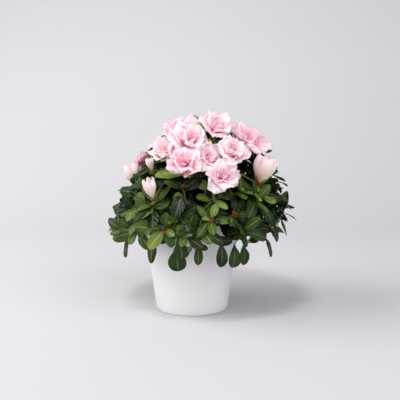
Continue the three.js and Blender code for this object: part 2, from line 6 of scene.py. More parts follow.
import bmesh
import bpy
import numpy as np
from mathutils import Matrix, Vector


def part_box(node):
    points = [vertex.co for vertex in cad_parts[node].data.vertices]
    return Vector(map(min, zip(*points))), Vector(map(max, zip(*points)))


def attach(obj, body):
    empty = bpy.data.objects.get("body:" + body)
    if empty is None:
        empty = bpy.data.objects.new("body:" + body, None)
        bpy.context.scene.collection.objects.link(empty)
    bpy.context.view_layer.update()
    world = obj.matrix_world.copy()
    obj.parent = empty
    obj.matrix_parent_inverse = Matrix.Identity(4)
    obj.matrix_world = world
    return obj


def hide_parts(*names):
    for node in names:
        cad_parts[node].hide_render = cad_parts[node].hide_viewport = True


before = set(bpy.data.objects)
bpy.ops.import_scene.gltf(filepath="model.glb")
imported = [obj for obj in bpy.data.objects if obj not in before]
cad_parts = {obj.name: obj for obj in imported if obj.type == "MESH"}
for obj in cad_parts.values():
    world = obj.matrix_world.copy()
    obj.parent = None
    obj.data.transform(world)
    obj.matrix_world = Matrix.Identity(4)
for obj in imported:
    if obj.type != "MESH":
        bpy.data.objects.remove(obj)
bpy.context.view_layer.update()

MM = 0.001
TURN = 2 * math.pi
UP = np.array([0.0, 0.0, 1.0])
GOLDEN_ANGLE = math.pi * (3 - math.sqrt(5))

# Starts of the repeatable streams of random numbers
FLOWER_SEED = 2024
LEAF_SEED = 15
PEAT_SEED = 77

# Pot and soil, with their heights from the frame
POT_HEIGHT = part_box("pot")[1][2]
POT_RIM_RADIUS = 70 * MM
POT_FOOT_RADIUS = 52.5 * MM
POT_WALL = 3.6 * MM
POT_FLOOR = 5 * MM
SOIL_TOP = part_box("soil")[1][2]

# Limbs, as in the part's source
FORK = np.array([0.0, 0.0, 142 * MM])
STEM_RADIUS = 5.5 * MM
STEM_FLARE = 4.5 * MM
STEM_LEAN = 3 * MM
STEM_STUB = 14 * MM
BOUGH_BASE_RADIUS = 2.9 * MM
BOUGH_TIP_RADIUS = 2.1 * MM
BOUGH_LENGTH = 62 * MM
BOUGH_ARCH = 7 * MM
BOUGH_STUB = 8 * MM
SHOOT_RADIUS = 1.7 * MM
SHOOT_TIP_RADIUS = 1.1 * MM
TWIG_RADIUS = 0.95 * MM
TWIG_TIP_RADIUS = 0.7 * MM

# Crown, as in the part's source
CROWN_SIDE = 139 * MM
CROWN_SKEW = 10 * MM
CROWN_TOP = 147 * MM
CROWN_UNDER = 78 * MM
CROWN_DIP = 0.5
SHOOT_REACH = 0.6
BLOOM_WIDTH = 54 * MM

# Leaves and finer twigs of the real plant
LEAF_LENGTH = 41 * MM
LEAF_WIDTH_SHARE = 0.45
LEAF_OVERREACH = 5 * MM
LEAF_FLOOR = 108 * MM
HANGING_REACH = 18 * MM
LOW_LEAVES_TOP = FORK[2] + 22 * MM
TIP_SPACING = 19 * MM
LOWEST_ROSETTE = math.sin(math.radians(-19))
FINE_TWIG_RADIUS = 0.65 * MM
POT_CLEARANCE = 1.5 * MM
TWIG_CLEARANCE = 2 * MM


def heading(azimuth, elevation):
    """A direction from its azimuth, from the front towards +X, and its elevation, in degrees."""
    a = math.radians(azimuth)
    e = math.radians(elevation)
    return np.array([math.sin(a) * math.cos(e), -math.cos(a) * math.cos(e), math.sin(e)])


FRONT = heading(0, 0)
WORD = 0xFFFFFFFF


def seeded(seed):
    """The same repeatable stream of numbers between 0 and 1 as in the part's source."""
    state = seed & WORD

    def draw():
        nonlocal state
        state = (state + 0x6D2B79F5) & WORD
        t = state
        t = ((t ^ (t >> 15)) * (t | 1)) & WORD
        t ^= (t + (((t ^ (t >> 7)) * (t | 61)) & WORD)) & WORD
        return (t ^ (t >> 14)) / (WORD + 1)

    return draw


def unit(vector):
    return vector / np.linalg.norm(vector)


def mix(a, b, share):
    return a + (b - a) * share


# Plan of the crown, as in the part's source: each bough's name, azimuth and elevation
BOUGHS = [
    ("bough_front", 0, 17),
    ("bough_right_front", 60, 17),
    ("bough_right_back", 120, 17),
    ("bough_back", 180, 17),
    ("bough_left_back", -120, 17),
    ("bough_left_front", -60, 17),
    ("bough_top", 175, 79),
]

# Spread of a mass's main twigs: degrees to each side, degrees up and down, and how many
LOW_SPREAD = (24, 25, 8)
MID_SPREAD = (22, 18, 6)
TOP_SPREAD = (22, 20, 6)

# Masses of leaves and flowers: name, number of the bough, azimuth, elevation, spread
LOW_MASSES = [
    (name.replace("bough", "leaves_low"), i, azimuth, -4, LOW_SPREAD)
    for i, (name, azimuth, _) in enumerate(BOUGHS[:6])
]
HIGH_MASSES = [
    ("leaves_mid_left", 5, -62, 31, MID_SPREAD),
    ("leaves_mid_right", 2, 97, 35, MID_SPREAD),
    ("leaves_mid_back", 3, 146, 38, MID_SPREAD),
    ("leaves_mid_left_back", 4, -152, 38, MID_SPREAD),
    ("leaves_top_right", 6, 122, 70, TOP_SPREAD),
    ("leaves_top_left", 6, -76, 70, TOP_SPREAD),
    ("flowers_front_left", 0, -12, 46, None),
    ("flowers_front_right", 1, 36, 46, None),
    ("flowers_back", 6, 180, 62, None),
    ("flowers_left", 4, -106, 42, None),
]

# Tints of petals, from pale to deep, and the cream of outer petals
PALE, PINK, DEEP, CREAM = range(4)

# Tints of leaves run from dark to fresh, and the last is painted shade: a near-black tint for the leaves
# inside the crown, where shade falls
FRESHEST = 3
PAINTED_SHADE_TINT = 4
TINT_CHANCES = [0.49, 0.33, 0.14, 0.04]

# Kinds of twigs and of bud scales
WOODY, GREEN = range(2)
LIME, RUSTY = range(2)

# Blooms: azimuth, elevation, size, how far open, how far out of the crown, tint of the outer petals
BLOOMS = [
    (-18, 63, 1.0, 0.95, 0, PINK),
    (-26, 47, 0.88, 0.62, -1 * MM, CREAM),
    (-1, 50, 1.0, 0.85, 1 * MM, PALE),
    (-4, 33, 0.86, 0.8, 3 * MM, PINK),
    (12, 38, 0.8, 0.95, -4 * MM, PALE),
    (31, 61, 0.96, 0.85, 0, PALE),
    (58, 48, 1.12, 1.05, 0, PINK),
    (29, 39, 0.84, 0.8, 4 * MM, PALE),
    (20, 26, 0.88, 1.1, -1 * MM, PALE),
    (160, 58, 0.95, 0.9, 0, PALE),
    (-163, 52, 1.0, 1.0, 0, PINK),
    (176, 40, 0.95, 0.9, 0, PALE),
    (-98, 50, 0.95, 0.9, 0, PINK),
    (-112, 35, 1.0, 1.0, 0, PALE),
]

# Buds: azimuth, elevation, size, and how swollen they are
BUDS = [
    (51, 26, 1.0, 0.86),
    (-36, 37, 0.42, 0.7),
    (-27, 18, 0.68, 0.74),
    (-150, 66, 0.5, 0.7),
    (-92, 30, 0.9, 0.9),
    (-122, 51, 0.6, 0.8),
    (104, 40, 0.5, 0.7),
    (140, 30, 0.6, 0.75),
]

# Rosettes that show at the front: azimuth, elevation, depth in the crown, leaves, tint, size, scales
FRONT_ROSETTES = [
    (-34, 1, 0.85, 7, 2, 0.95, LIME),
    (-54, -9, 0.90, 6, 1, 0.95, RUSTY),
    (12, 2, 0.86, 7, 2, 0.78, RUSTY),
    (-3, -9, 0.86, 6, 1, 0.85, LIME),
    (33, -6, 0.86, 7, 1, 0.95, LIME),
    (53, -5, 0.92, 5, 0, 0.90, LIME),
    (28, 4, 0.82, 6, 0, 0.85, RUSTY),
    (80, 0, 0.88, 6, 0, 1.08, RUSTY),
    (-31, 12, 0.86, 6, 1, 1.0, LIME),
    (-5, 21, 0.86, 5, 0, 0.95, RUSTY),
    (-62, 46, 0.84, 6, 0, 1.0, LIME),
    (14, 14, 0.85, 5, 2, 0.78, LIME),
    (45, 12, 0.86, 7, 1, 1.06, LIME),
]

# Leaves that hang over the rim: azimuth, elevation, length, width as a share of it, tint
HANGING_LEAVES = [
    (-11, -19, 38 * MM, 0.72, 1),
    (-7, -11, 27 * MM, 0.86, 1),
    (31, -16, 38 * MM, 0.56, 1),
    (38, -16, 43 * MM, 0.60, 1),
    (20, -14, 33 * MM, 0.52, 0),
    (5, -13, 30 * MM, 0.42, 1),
    (-27, -13, 32 * MM, 0.42, 1),
    (150, -15, 36 * MM, 0.5, 0),
    (-140, -14, 38 * MM, 0.56, 1),
    (62, -14, 30 * MM, 0.5, 1),
    (-57, -14, 31 * MM, 0.46, 1),
]
HANGING_DEPTH = 0.86

# Layers of finer rosettes: tips tried, nearest and furthest share of the crown's reach, leaves in a
# rosette, lowest elevation, tint if it isn't left to chance
LAYERS = [
    (150, 0.76, 0.88, 7, -15, None),
    # The inner layer takes the near-black tint of painted shade
    (90, 0.48, 0.66, 5, -22, PAINTED_SHADE_TINT),
]


def reach_along(direction):
    """How far the crown reaches from the fork: a dome that dips at its left shoulder."""
    level = 1 - direction[2] ** 2
    rise = CROWN_TOP if direction[2] > 0 else CROWN_UNDER
    side = CROWN_SIDE + CROWN_SKEW * direction[0]
    shoulder = max(0, -direction[0]) * max(0, direction[2])
    return (1 - CROWN_DIP * shoulder) / math.sqrt(level / side**2 + direction[2] ** 2 / rise**2)


def in_crown(direction, share):
    """The point at a share of the crown's reach along a direction."""
    return direction * reach_along(direction) * share + FORK


def pot_radius_at(z):
    return POT_FOOT_RADIUS + (POT_RIM_RADIUS - POT_FOOT_RADIUS) * z / POT_HEIGHT


def square_to(axis):
    """Two directions square to an axis."""
    nearly_upright = abs(axis[2]) > 0.9
    across = unit(np.cross(FRONT if nearly_upright else UP, axis))
    return across, unit(np.cross(axis, across))


def outward_at(axis, turn):
    """The direction away from an axis at a turn round it."""
    across, over = square_to(axis)
    return across * math.cos(turn) + over * math.sin(turn)


def leaned(axis, tilt, turn):
    """The axis leaned over by an angle, towards the side at a turn round it."""
    return unit(axis * math.cos(tilt) + outward_at(axis, turn) * math.sin(tilt))


def bend(start, direction, end, lead=0.45, count=13):
    """Points on a curve that leaves its start along one direction and bends to its end."""
    t = np.linspace(0, 1, count)[:, None]
    middle = start + direction * lead * np.linalg.norm(end - start)
    return (1 - t) ** 2 * start + 2 * t * (1 - t) * middle + t**2 * end


def along_path(path, share):
    """The point and the direction at a share of a path's length."""
    steps = np.linalg.norm(np.diff(path, axis=0), axis=1)
    runs = np.concatenate([[0], np.cumsum(steps)])
    goal = share * runs[-1]
    point = np.array([np.interp(goal, runs, path[:, k]) for k in range(3)])
    k = min(int(np.searchsorted(runs, goal)), len(path) - 1)
    k = max(k, 1)
    return point, unit(path[k] - path[k - 1])


# Mesh making

def add_object(name, data):
    made = bpy.data.objects.new(name, data)
    bpy.context.scene.collection.objects.link(made)
    return made


def corners(grid):
    """The values at the four corners of each face of a grid."""
    return np.stack([grid[:-1, :-1], grid[:-1, 1:], grid[1:, 1:], grid[1:, :-1]], axis=2)


class Shell:
    """Gathers grids of points into one mesh, with a UV map and a material for each face."""

    def __init__(self):
        self.points = []
        self.quads = []
        self.slots = []
        self.uvs = []
        self.count = 0

    def add(self, grid, slot=0, ring=False):
        rows, columns = grid.shape[:2]
        index = np.arange(rows * columns).reshape(rows, columns)
        if ring:
            index = np.concatenate([index, index[:, :1]], axis=1)
        quads = corners(index)
        high, wide = quads.shape[:2]
        places = np.meshgrid(np.linspace(0, 1, wide + 1), np.linspace(0, 1, high + 1))
        uv = corners(np.stack(places, axis=-1))
        self.points.append(grid.reshape(-1, 3))
        self.quads.append(quads.reshape(-1, 4) + self.count)
        self.slots.append(np.broadcast_to(np.asarray(slot), (high, wide)).ravel())
        self.uvs.append(uv.reshape(-1, 2))
        self.count += rows * columns

    def piece(self, name, materials, merge=False):
        """Makes the mesh a piece that rides on the body."""
        mesh = bpy.data.meshes.new(name)
        mesh.from_pydata(np.concatenate(self.points), [], np.concatenate(self.quads), shade_flat=False)
        mesh.polygons.foreach_set("material_index", np.concatenate(self.slots))
        layer = mesh.uv_layers.new(name="UVMap")
        layer.data.foreach_set("uv", np.concatenate(self.uvs).ravel())
        for material in materials:
            mesh.materials.append(material)
        if merge:
            welded = bmesh.new()
            welded.from_mesh(mesh)
            bmesh.ops.remove_doubles(welded, verts=welded.verts, dist=MM / 1000)
            welded.to_mesh(mesh)
            welded.free()
        piece = add_object(name, mesh)
        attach(piece, "root")
        return piece


def tube(path, radii, sides, relief=None):
    """A grid of rings across a path, closed at both ends. relief(turn, share) swells the rings."""
    count = len(path)
    tangents = np.gradient(path, axis=0)
    tangents /= np.linalg.norm(tangents, axis=1)[:, None]
    normal = square_to(tangents[0])[0]
    turn = np.linspace(0, TURN, sides, endpoint=False)
    grid = np.empty((count + 2, sides, 3))
    for k in range(count):
        normal = unit(normal - tangents[k] * np.dot(normal, tangents[k]))
        over = np.cross(tangents[k], normal)
        swell = relief(turn, k / (count - 1)) if relief else 1
        ring = np.outer(np.cos(turn) * swell, normal) + np.outer(np.sin(turn) * swell, over)
        grid[k + 1] = path[k] + ring * radii[k]
    grid[0] = path[0]
    grid[-1] = path[-1]
    return grid


def ribbon(base, along, face, length, rows, across, half, angles, lift, reach=None, sway=0.0):
    """A grid for a leaf or a petal. It runs along a line that bends away from its face by angles,
    is twice as wide as half says at each row, and is lifted off the line by lift[row, column]."""
    side = unit(np.cross(face, along))
    top = unit(np.cross(along, side))
    along = unit(along)
    lines = np.outer(np.cos(angles), along) - np.outer(np.sin(angles), top)
    tops = np.outer(np.cos(angles), top) + np.outer(np.sin(angles), along)
    steps = np.diff(rows)[:, None] * (lines[:-1] + lines[1:]) / 2
    spine = np.concatenate([np.zeros((1, 3)), np.cumsum(steps, axis=0)]) * length
    if reach is None:
        reach = np.ones(len(across))
    shares = rows[:, None] * reach[None, :]
    run = np.stack([np.interp(shares, rows, spine[:, k]) for k in range(3)], axis=-1)
    sideways = np.outer(half, across) + (sway * length * rows**2)[:, None]
    return base + run + sideways[..., None] * side + lift[..., None] * tops[:, None, :]


# Leaves

# Shape of a leaf, in shares of its length or of half its width
LEAF_ROWS = np.array([0, 0.07, 0.15, 0.27, 0.40, 0.54, 0.68, 0.80, 0.90, 0.965, 1.0])
LEAF_ACROSS = np.array([-1, -0.58, -0.10, 0.10, 0.58, 1])

# Materials of the strips across a leaf: the blade's, and the rib's in the middle
BLADE_SLOTS = np.array([0, 0, 1, 0, 0])

# Leaves of a rosette: tilts in degrees of the youngest, the oldest, and the youngest under a flower
YOUNG_TILT = 34
OLD_TILT = 86
NEST_TILT = 62
YOUNG_SIZE = 0.6


def leaf_half_widths(length, width, fullest, blunt):
    """Half the width of each row: a narrow stalk, then a blade with a blunt, rounded tip."""
    share = np.clip((LEAF_ROWS - 0.05) / 0.95, 0, 1)
    swelling = np.sin(math.pi / 2 * np.minimum(share / fullest, 1)) ** 1.15
    past = np.clip((share - fullest) / (1 - fullest), 0, 1)
    rounding = np.sqrt(1 - past**blunt)
    return np.maximum(width / 2 * swelling * rounding, 0.016 * length)


def leaf_grid(base, along, face, length, width_share, rng):
    """A blade that arches over, folds up from its rib, drops at its edge and waves a little."""
    width = length * width_share * rng.uniform(0.86, 1.16)
    half = leaf_half_widths(length, width, rng.uniform(0.46, 0.64), rng.uniform(1.5, 2.3))
    arch = math.radians(rng.uniform(10, 52))
    angles = arch * (LEAF_ROWS - 0.25)
    away = np.abs(LEAF_ACROSS)
    fold = np.outer(half, away) * rng.uniform(0.06, 0.34)
    edge = np.outer(half, away**3) * rng.uniform(0.05, 0.3)
    bulge = np.outer(half, np.sin(math.pi * away)) * 0.07
    height = rng.uniform(0, 0.035) * length
    swing = np.sin(LEAF_ROWS * 9 + rng.uniform(0, 6))
    lift = fold - edge + bulge + height * np.outer(swing, LEAF_ACROSS) * away
    return ribbon(base, along, face, length, LEAF_ROWS, LEAF_ACROSS, half, angles, lift,
                  sway=rng.uniform(-0.07, 0.07))


def inside_pot(points, clearance=POT_CLEARANCE):
    level = np.hypot(points[..., 0], points[..., 1])
    z = points[..., 2]
    return bool(np.any((z < POT_HEIGHT + clearance) & (level < pot_radius_at(z) + clearance)))


def past_reach(point, slack):
    """True if a point is out of the crown, past the little that leaf tips stand out of its sides."""
    away = point - FORK
    distance = np.linalg.norm(away)
    direction = away / distance
    return distance > reach_along(direction) + slack * (1 - max(0, direction[2]))


def sliver(base, along, face, length, rows, half, fold, angles):
    """A narrow, pointed scale or sepal, folded along its middle."""
    across = np.array([-1, 0, 1.0])
    lift = np.outer(half, np.abs(across)) * fold
    return ribbon(base, along, face, length, rows, across, half, angles, lift)


def bud_scale(base, along, upward, length, rng):
    rows = np.array([0, 0.25, 0.5, 0.75, 1.0])
    half = length * 0.26 * np.array([0.6, 1, 0.9, 0.55, 0.06])
    face = unit(along - upward * 0.98 + rng.normal(0, 0.02, 3))
    return sliver(base, along, face, length, rows, half, -0.8, -0.5 * rows)


class Foliage:
    """The leaves, young twigs and bud scales, gathered as they grow."""

    def __init__(self):
        self.low = Shell()
        self.high = Shell()
        self.twigs = Shell()
        self.scales = Shell()
        self.keep_out = []
        self.tips = []

    def crowded(self, tip):
        return any(np.linalg.norm(tip - other) < TIP_SPACING for other in self.tips)

    def by_flower(self, tip):
        return any(np.linalg.norm(tip - centre) < radius + FLOWER_MARGIN for centre, radius in self.keep_out)

    def leaf_fits(self, grid, lowest, slack):
        """True if a leaf stays out of the pot and the flowers, and its tip in the crown."""
        tip = grid[-1, 2]
        if inside_pot(grid[2:]) or past_reach(tip, slack) or tip[2] < lowest:
            return False
        spots = grid[3::3, 2]
        for centre, radius in self.keep_out:
            if np.min(np.linalg.norm(spots - centre, axis=1)) <= radius:
                return False
        return True

    def leaf(self, base, along, face, length, tint, rng, width_share=LEAF_WIDTH_SHARE, hangs=False):
        """Adds a leaf, or a shorter one where it doesn't fit, or none."""
        shell = self.low if base[2] < LOW_LEAVES_TOP else self.high
        lowest = 0 if hangs else LEAF_FLOOR + rng.uniform(-9, 9) * MM
        slack = HANGING_REACH if hangs else LEAF_OVERREACH
        for share in (1, 0.84, 0.7):
            grid = leaf_grid(base, along, face, length * share, width_share, rng)
            if self.leaf_fits(grid, lowest, slack):
                shell.add(grid, slot=2 * tint + BLADE_SLOTS[None, :])
                return

    def rosette(self, tip, upward, count, rng, size=1.0, tint=None, scales=None, steepest=YOUNG_TILT):
        """Leaves set round a twig's end: the oldest are the largest and lie the flattest."""
        self.tips.append(tip)
        if tint is None:
            tint = int(rng.choice(len(TINT_CHANCES), p=TINT_CHANCES))
        phase = rng.uniform(0, TURN)
        for i in range(count):
            age = 1 - i / max(count - 1, 1)
            tilt = math.radians(mix(steepest, OLD_TILT, age) + rng.uniform(-10, 10))
            along = leaned(upward, tilt, phase + i * GOLDEN_ANGLE + rng.uniform(-0.2, 0.2))
            along = unit(along - UP * 0.12 * age)
            face = unit(upward + UP * 0.3 + rng.normal(0, 0.12, 3))
            length = LEAF_LENGTH * size * mix(YOUNG_SIZE, 1.0, age**0.5) * rng.uniform(0.88, 1.14)
            fresher = tint if tint >= FRESHEST else tint + int(age < 0.3)
            base = tip - upward * (1.0 + 5.5 * age) * MM
            self.leaf(base, along, face, length, fresher, rng)
        # RUSTY scales always show, LIME ones and those left to chance only on some rosettes
        if scales or rng.uniform() < 0.6:
            self.heart(tip, upward, rng, scales)

    def heart(self, tip, upward, rng, kind):
        """The scales of a resting bud at the heart of a rosette, green or rusty."""
        slot = int(rng.uniform() < 0.45) if kind is None else kind
        size = rng.uniform(4.5, 8) * MM
        for i in range(7):
            along = leaned(upward, math.radians(6 + 34 * rng.uniform()), i * GOLDEN_ANGLE)
            self.scales.add(bud_scale(tip - upward * 1.2 * MM, along, upward, size, rng), slot=slot)

    def husk(self, base, axis, size, rng):
        """The brown scales that a flower bud burst from, spread round its foot."""
        for i in range(5):
            along = leaned(axis, math.radians(rng.uniform(44, 80)), i * GOLDEN_ANGLE)
            self.scales.add(bud_scale(base, along, axis, size * rng.uniform(0.6, 1.0), rng), slot=RUSTY)

    def twig(self, path, start_radius, end_radius, slot, sides=6):
        radii = np.linspace(start_radius, end_radius, len(path))
        self.twigs.add(tube(path, radii, sides), slot=slot, ring=True)


# Flowers

# Shape of a petal, in shares of its length or width
PETAL_ROWS = np.array([0, 0.1, 0.2, 0.3, 0.39, 0.48, 0.57, 0.65, 0.73, 0.8, 0.86, 0.92, 0.965, 1.0])
PETAL_ACROSS = np.linspace(-1, 1, 17)
PETAL_SHOULDER = 0.78
FRILL = 0.55

# Rings of petals from the outside in: count, length, width, lean, curl, ruffle, cup
OPEN_RINGS = [
    (5, 0.66, 0.60, 34, 64, 0.22, 0.18),
    (5, 0.60, 0.54, 26, 50, 0.24, 0.26),
    (5, 0.50, 0.42, 17, 40, 0.26, 0.38),
    (4, 0.38, 0.31, 8, 26, 0.26, 0.50),
]

# Rings of petals of a bud from the outside in: count, length, lean
BUD_RINGS = [
    (5, 1.0, 52),
    (4, 0.95, 42),
    (3, 0.88, 26),
]
BUD_LENGTH = 34 * MM

SEPALS = 6


def petal_half_widths(width):
    """Half the width of each row: a narrow claw that widens to the shoulder, then a blunt end."""
    swell = np.sin(math.pi / 2 * np.minimum(PETAL_ROWS / PETAL_SHOULDER, 1)) ** 1.2
    past = np.clip((PETAL_ROWS - PETAL_SHOULDER) / (1 - PETAL_SHOULDER), 0, 1)
    return width / 2 * (0.14 + 0.86 * swell) * (1 - 0.22 * past**2)


def petal_grid(base, axis, turn, length, width, lean, curl, ruffle, cup, rng):
    """One petal: it leaves the flower's axis at lean and opens by curl more towards its frilled edge."""
    rows = PETAL_ROWS
    columns = PETAL_ACROSS
    half = petal_half_widths(width)
    angles = math.radians(lean) + math.radians(curl) * rows**1.5
    swing = rng.uniform(0, TURN, 4)
    waves = rng.uniform(1.0, 1.9)
    frill = np.sin(columns * math.pi * waves + swing[0])
    frill += 0.5 * np.sin(columns * 2.3 * math.pi * waves + swing[1])
    drift = 0.7 * np.outer(np.sin(rows * 5 + swing[2]), np.sin(columns * 2.5 + swing[3]))
    edge = rows[:, None] ** 2 * (0.4 + 0.6 * np.abs(columns))[None, :]
    lift = ruffle * length * edge * (frill[None, :] + drift) * FRILL
    lift += ruffle * length * 0.12 * np.outer(rows**5, np.sin(columns * 5 * math.pi + swing[0]))
    lift += cup * np.outer(half, columns**2)
    reach = 1 - rng.uniform(0.2, 0.42) * np.abs(columns) ** 2.4
    reach += 0.045 * np.sin(columns * 7 + swing[1])
    return ribbon(base, axis, -outward_at(axis, turn), length, rows, columns, half, angles, lift,
                  reach=reach, sway=rng.uniform(-0.08, 0.08))


class Blossom:
    """The petals and sepals of blooms and buds, gathered as they open."""

    def __init__(self):
        self.petals = Shell()
        self.sepals = Shell()

    def bloom(self, base, axis, size, openness, tint, rng):
        """A double flower: rings of petals that open less and less towards the throat."""
        width = BLOOM_WIDTH * size
        throat = base + axis * width * 0.10
        phase = rng.uniform(0, TURN)
        for k, (count, length, breadth, lean, curl, ruffle, cup) in enumerate(OPEN_RINGS):
            for i in range(count):
                turn = phase + k * 0.6 + (i + rng.uniform(-0.14, 0.14)) * TURN / count
                grid = petal_grid(
                    throat, unit(axis + rng.normal(0, 0.08, 3)), turn,
                    width * length * rng.uniform(0.86, 1.12), width * breadth * rng.uniform(0.88, 1.14),
                    lean * mix(0.6, 1, openness) + rng.uniform(-10, 12),
                    curl * openness + rng.uniform(-28, 20), ruffle, cup, rng)
                self.petals.add(grid, slot=self.shade(tint, k, rng))
        self.calyx(base, axis, width * 0.13, rng)

    def shade(self, tint, ring, rng):
        """The slot of a petal: the inner rings are a shade deeper, a few petals a shade off."""
        if ring == 0 and rng.uniform() < 0.75:
            return tint
        base = PALE if tint == CREAM else tint
        return min(base + int(ring > 1) + int(rng.uniform() < 0.2), DEEP)

    def bud(self, base, axis, size, swollen, rng):
        """A half-open flower: petals wrapped over each other round a bluff tip."""
        length = BUD_LENGTH * size
        phase = rng.uniform(0, TURN)
        for k, (count, share, lean) in enumerate(BUD_RINGS):
            for i in range(count):
                turn = phase + k * 0.7 + i * TURN / count
                grid = petal_grid(
                    base + axis * MM, axis, turn,
                    length * 1.34 * share, length * 0.76 * swollen,
                    lean * swollen, -lean * swollen * 1.5 + rng.uniform(-6, 6),
                    0.06 + 0.02 * k, 0.62, rng)
                self.petals.add(grid, slot=CREAM if k == 0 else int(rng.integers(PALE, DEEP)))
        self.calyx(base, axis, length * 0.34, rng)

    def calyx(self, base, axis, size, rng):
        """Narrow sepals that clasp the flower's foot, most of them green and some rusty."""
        rows = np.array([0, 0.2, 0.45, 0.7, 1.0])
        for i in range(SEPALS):
            outward = outward_at(axis, i * TURN / SEPALS + rng.uniform(-0.2, 0.2))
            length = size * rng.uniform(1.2, 1.9)
            half = length * 0.17 * np.array([0.8, 1, 0.85, 0.5, 0.05])
            angles = math.radians(62) - 0.9 * rows
            grid = sliver(base - axis * 1.6 * MM, axis, -outward, length, rows, half, 0.5, angles)
            self.sepals.add(grid, slot=int(rng.uniform() < 0.25))


# Limbs

BOUGH_COLLAR = 1.0 * MM
BOUGH_KNOT = 0.5 * MM


def bough_fork(bough):
    _, azimuth, elevation = bough
    return heading(azimuth, elevation) * BOUGH_LENGTH + FORK + UP * BOUGH_ARCH


class Mass:
    """A mass of leaves or flowers, with the path of its shoot and of the limbs that twigs leave."""

    def __init__(self, number, row):
        self.name, bough, azimuth, elevation, self.spread = row
        self.number = number
        self.axis = heading(azimuth, elevation)
        tip = self.axis * SHOOT_REACH * reach_along(self.axis) + FORK
        fork = bough_fork(BOUGHS[bough])
        leave = unit(tip - fork)
        start = fork + leave * BOUGH_STUB
        self.shoot = np.concatenate([[fork], bend(start, leave, tip, 0.5)])
        self.limbs = [self.shoot]


MASSES = [Mass(number, row) for number, row in enumerate(LOW_MASSES + HIGH_MASSES)]


def nearest_mass(direction):
    return max(MASSES, key=lambda mass: float(np.dot(mass.axis, direction)))


def twig_plan(mass):
    """Where a mass's main twigs end, spread over its wedge by the golden angle."""
    sideways_spread, upright_spread, count = mass.spread
    draw = seeded(101 + 17 * mass.number)
    sideways, upright = square_to(mass.axis)
    plan = []
    for i in range(count):
        out = math.sqrt((i + 0.6) / count)
        turn = i * GOLDEN_ANGLE + mass.number + 0.5 * (draw() - 0.5)
        swing = math.tan(math.radians(sideways_spread)) * out * math.cos(turn)
        lift = math.tan(math.radians(upright_spread)) * out * math.sin(turn)
        direction = unit(mass.axis + sideways * swing + upright * lift)
        depth = 0.74 + 0.08 * draw()
        join = 0.4 + 0.5 * (1 - out) + 0.06 * draw()
        plan.append((direction, depth, join))
    return plan


def bark_relief(strength, seed):
    """Ridges that wind along a limb, and knots, as a swelling of its rings."""
    rng = np.random.default_rng(seed)
    phases = rng.uniform(0, TURN, 6)

    def relief(turn, share):
        ridges = 0.5 * np.sin(5 * turn + 7 * share + phases[0])
        ridges += 0.35 * np.sin(9 * turn - 23 * share + phases[1])
        knots = 0.4 * np.sin(3 * turn + 41 * share + phases[2]) * np.sin(17 * share + phases[3])
        return 1 + strength * (ridges + knots)

    return relief


def stem_tube():
    """The stem, with a foot that flares into a few lobes."""
    foot = np.array([-STEM_LEAN, STEM_LEAN / 2, SOIL_TOP])
    path = bend(foot, UP, FORK, 0.5, 26)
    share = np.linspace(0, 1, len(path))
    radii = STEM_RADIUS + STEM_FLARE * np.exp(-7 * share)
    ridged = bark_relief(0.10, 1)

    def flared(turn, at):
        return ridged(turn, at) + 0.2 * math.exp(-6 * at) * np.cos(4 * turn + 0.8)

    return tube(path, radii, 28, flared)


def bough_tube(bough, seed):
    """One bough, from inside the fork, thicker at its collar and at the knot where its shoots leave."""
    _, azimuth, elevation = bough
    direction = heading(azimuth, elevation + (0 if elevation > 45 else 6))
    start = FORK + direction * STEM_STUB
    in_fork = np.linspace(FORK, start, 6)[:-1]
    path = np.concatenate([in_fork, bend(start, direction, bough_fork(bough), 0.45, 24)])
    share = np.linspace(0, 1, len(path))
    radii = BOUGH_TIP_RADIUS + (BOUGH_BASE_RADIUS - BOUGH_TIP_RADIUS) * (1 - share)
    radii += BOUGH_COLLAR * np.exp(-9 * share)
    radii += BOUGH_KNOT * np.exp(-((share - 1) / 0.05) ** 2)
    return tube(path, radii, 16, bark_relief(0.09, seed))


def make_limbs(bark):
    """The stem and the boughs as living bark: fissured, with a flared foot and knotty forks."""
    shell = Shell()
    shell.add(stem_tube(), ring=True)
    for k, bough in enumerate(BOUGHS):
        shell.add(bough_tube(bough, 10 + k), ring=True)
    piece = shell.piece("bark_limbs", [bark], merge=True)
    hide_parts("stem", *[name for name, _, _ in BOUGHS])


# Growth

# How blooms and buds stand in the crown, and the balls round them that leaves keep out of
BLOOM_DEPTH = 0.45
BLOOM_HEART = 0.32
BLOOM_ROOM = 0.43
BUD_INSET = 12 * MM
BUD_DROP = 15 * MM
BUD_HEART = 17 * MM
BUD_ROOM = 20 * MM
FLOWER_MARGIN = 3 * MM


def lattice(count, lowest):
    """Directions spread evenly over the crown, down to the lowest elevation."""
    bottom = math.sin(math.radians(lowest))
    for i in range(count):
        z = mix(1, bottom, (i + 0.5) / count)
        level = math.sqrt(1 - z * z)
        turn = i * GOLDEN_ANGLE
        yield np.array([math.cos(turn) * level, math.sin(turn) * level, z])


def rosette_heading(direction, rng):
    """Outwards, turned up by the light on top and hanging a little under the rim."""
    lift = 0.45 if direction[2] > -0.1 else 0.0
    return unit(direction + UP * lift + rng.normal(0, 0.16, 3))


def fine_twig(foliage, tip, direction, share):
    """A fine twig from the nearest limb of the wedge it lies in to a tip. False if it hits the pot."""
    near = nearest_mass(direction).limbs
    parent = min(near, key=lambda path: float(np.linalg.norm(path[-1] - tip)))
    root, leave = along_path(parent, share)
    path = bend(root, unit(leave + direction * 0.8), tip, 0.45, 9)
    if inside_pot(path[2:], TWIG_CLEARANCE) or inside_pot(tip, 4 * MM):
        return False
    foliage.twig(path, FINE_TWIG_RADIUS * 1.25, FINE_TWIG_RADIUS, GREEN, 5)
    return True


